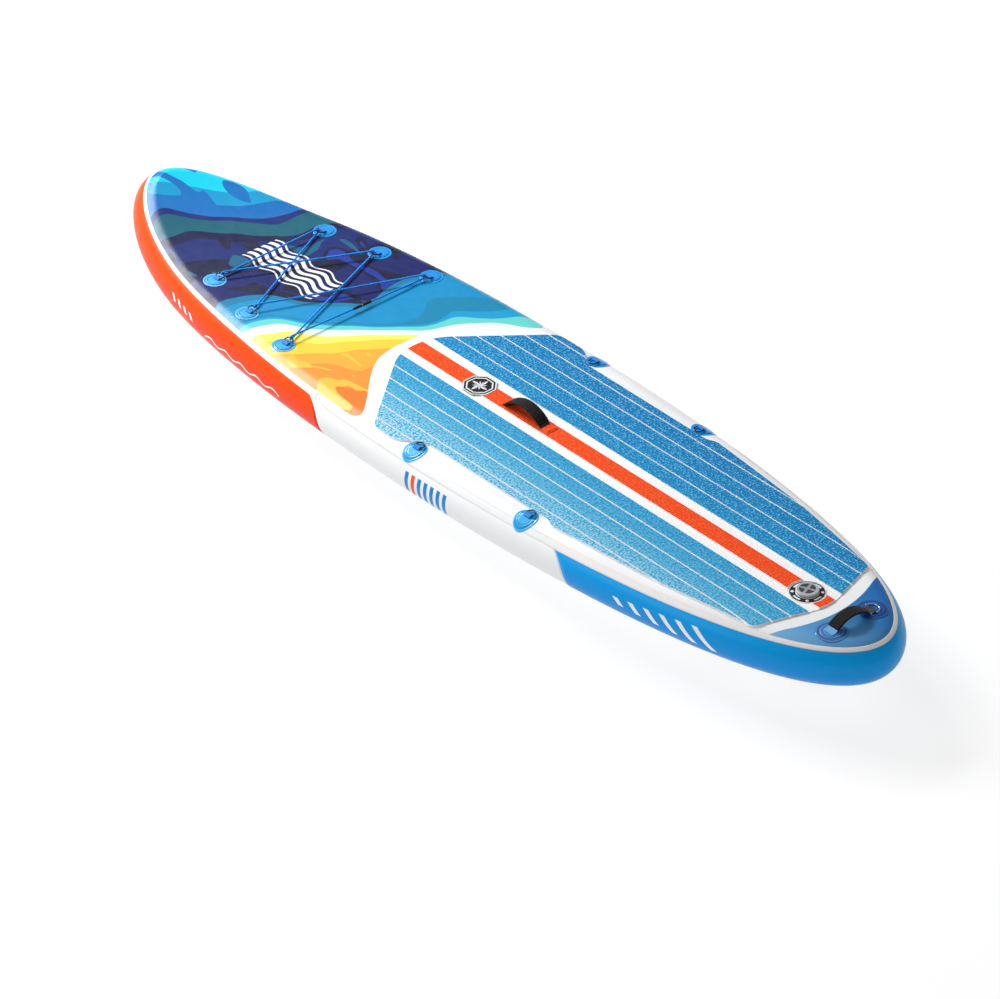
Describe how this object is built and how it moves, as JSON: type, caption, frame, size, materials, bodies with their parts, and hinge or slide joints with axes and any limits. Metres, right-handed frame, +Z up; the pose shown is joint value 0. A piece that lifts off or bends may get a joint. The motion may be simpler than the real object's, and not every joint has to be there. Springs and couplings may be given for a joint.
{
  "type": "inflatable stand up paddleboard",
  "caption": "Drop-stitch paddleboard with raised nose, grooved deck pad, laced cargo cord, two carry handles, tow rings, inflation valve and fins.",
  "frame": {"origin": "under the middle of the board's length and width, level with the centre fin's tip", "axes": "+X from the tail to the nose, +Y to port, +Z up from the fins to the deck"},
  "size_m": [3.35, 0.844, 0.3374],
  "materials": {
    "deck_pvc": "satin",
    "hull_white_pvc": "satin",
    "nose_rail_pvc": "satin",
    "side_rail_pvc": "satin",
    "tail_rail_pvc": "satin",
    "nose_piping_pvc": "satin",
    "tail_piping_pvc": "satin",
    "thread": "matte",
    "pad_white_eva": "matte",
    "pad_blue_eva": "matte",
    "pad_orange_eva": "matte",
    "badge": "satin",
    "patch_pvc": "satin",
    "webbing_blue": "matte",
    "webbing_black": "matte",
    "handle_black": "matte",
    "cord": "matte",
    "black_plastic": "gloss",
    "black_rubber": "matte",
    "steel": "polished",
    "brass": "satin",
    "valve_grey": "satin",
    "valve_black": "satin",
    "fin_black": "satin"
  },
  "bodies": {
    "board": {"deck_sheet": "deck_pvc", "bottom_sheet": "hull_white_pvc", "nose_rail": "nose_rail_pvc", "port_rail": "side_rail_pvc", "starboard_rail": "side_rail_pvc", "tail_rail": "tail_rail_pvc", "nose_piping": "nose_piping_pvc", "tail_piping": "tail_piping_pvc", "drop_stitch_threads": "thread", "pad_base": "pad_white_eva", "pad_strips_port": "pad_blue_eva", "pad_strips_starboard": "pad_blue_eva", "pad_stripe": "pad_orange_eva", "pad_badge": "badge", "nose_patches": "patch_pvc", "nose_patch_covers": "patch_pvc", "nose_ring_tabs": "webbing_blue", "nose_rings": "steel", "side_patches": "patch_pvc", "side_patch_covers": "patch_pvc", "side_ring_tabs": "webbing_blue", "bungee_cord": "cord", "bungee_sleeves": "black_plastic", "bungee_joiner": "steel", "centre_handle_strap": "webbing_black", "centre_handle_sleeve": "handle_black", "handle_anchors": "pad_orange_eva", "tail_patches": "patch_pvc", "tail_patch_covers": "patch_pvc", "tail_handle_strap": "webbing_blue", "tail_handle_sleeve": "handle_black", "tail_ring_tab": "webbing_black", "valve_flange": "valve_grey", "valve_body": "valve_black", "valve_gasket": "black_rubber", "valve_nut": "valve_black", "valve_spring": "steel", "fin_base_plate": "fin_black", "fin_box": "fin_black", "side_fin_port": "fin_black", "side_fin_starboard": "fin_black"},
    "side_ring_front_port": {"side_ring_fp": "steel"},
    "side_ring_front_starboard": {"side_ring_fs": "steel"},
    "side_ring_aft_port": {"side_ring_ap": "steel"},
    "side_ring_aft_starboard": {"side_ring_as": "steel"},
    "leash_ring": {"tail_ring": "steel"},
    "cap": {"valve_cap": "valve_black"},
    "stem": {"valve_stem": "valve_grey", "valve_poppet": "black_rubber"},
    "fin": {"centre_fin": "fin_black", "fin_screw": "steel", "fin_nut_plate": "brass"}
  },
  "joints": [
    {"name": "side_ring_front_port_hinge", "type": "hinge", "parent": "board", "child": "side_ring_front_port", "pos_m": [-0.048, 0.354, 0.27655], "axis": [-1, 0, 0], "range_deg": [0, 165]},
    {"name": "side_ring_front_starboard_hinge", "type": "hinge", "parent": "board", "child": "side_ring_front_starboard", "pos_m": [-0.048, -0.354, 0.27655], "axis": [1, 0, 0], "range_deg": [0, 165]},
    {"name": "side_ring_aft_port_hinge", "type": "hinge", "parent": "board", "child": "side_ring_aft_port", "pos_m": [-0.53, 0.341, 0.27655], "axis": [-1, 0, 0], "range_deg": [0, 165]},
    {"name": "side_ring_aft_starboard_hinge", "type": "hinge", "parent": "board", "child": "side_ring_aft_starboard", "pos_m": [-0.53, -0.341, 0.27655], "axis": [1, 0, 0], "range_deg": [0, 165]},
    {"name": "leash_ring_hinge", "type": "hinge", "parent": "board", "child": "leash_ring", "pos_m": [-1.524, -0.075, 0.27655], "axis": [-1, 0, 0], "range_deg": [0, 100]},
    {"name": "valve_cap_lift", "type": "slide", "parent": "board", "child": "cap", "axis": [0, 0, 1], "range_m": [0, 0.03]},
    {"name": "valve_button_press", "type": "slide", "parent": "board", "child": "stem", "axis": [0, 0, -1], "range_m": [0, 0.005], "stiffness_N_per_m": 900, "springref_m": -0.004, "deforming": ["valve_spring"]},
    {"name": "fin_slide", "type": "slide", "parent": "board", "child": "fin", "axis": [1, 0, 0], "range_m": [0, 0.05]}
  ]
}
